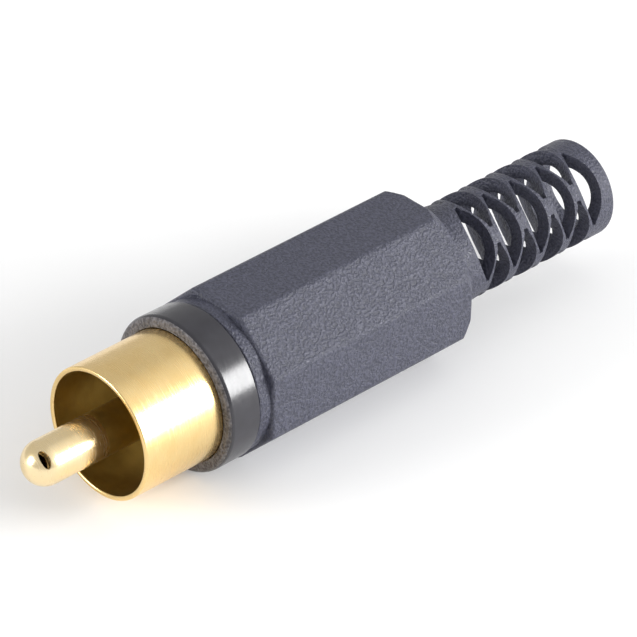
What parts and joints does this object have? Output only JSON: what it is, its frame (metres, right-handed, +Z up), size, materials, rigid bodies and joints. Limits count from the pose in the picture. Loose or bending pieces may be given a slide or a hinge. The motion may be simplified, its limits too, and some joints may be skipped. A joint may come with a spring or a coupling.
{
  "type": "rca plug",
  "caption": "Phono cable plug with a gold-plated pin and cup, a colour ring and a screw-on black octagonal handle with a windowed strain relief.",
  "frame": {"origin": "middle of the plug's length and width, on the surface it lies on", "axes": "+X along the plug from the pin to the cable end, +Z up from the flat of the handle it lies on"},
  "size_m": [0.0516, 0.0114, 0.0114],
  "materials": {
    "gold_plate": "polished gold plate over brass",
    "insulator_plastic": "plain moulded insulator",
    "smooth_black_plastic": "smooth moulded, semi-gloss",
    "grained_black_plastic": "spark-grained moulding"
  },
  "bodies": {
    "contacts": {"ground_shell": "gold_plate", "centre_pin": "gold_plate", "front_insulator": "insulator_plastic", "rear_insulator": "insulator_plastic", "ground_lug": "gold_plate"},
    "ring": {"colour_ring": "smooth_black_plastic"},
    "handle_body": {"handle": "grained_black_plastic"}
  },
  "joints": [
    {"name": "ring_slide", "type": "slide", "parent": "contacts", "child": "ring", "axis": [1, 0, 0], "range_m": [0, 0.00525]},
    {"name": "handle_screw", "type": "hinge", "parent": "ring", "child": "handle_body", "pos_m": [-0.00988, 0, 0.0057], "axis": [1, 0, 0], "range_deg": [0, 2520]}
  ],
  "couplings": [
    {"joint": "handle_screw", "follows": "ring_slide", "rad_per_m": 8377.6}
  ]
}
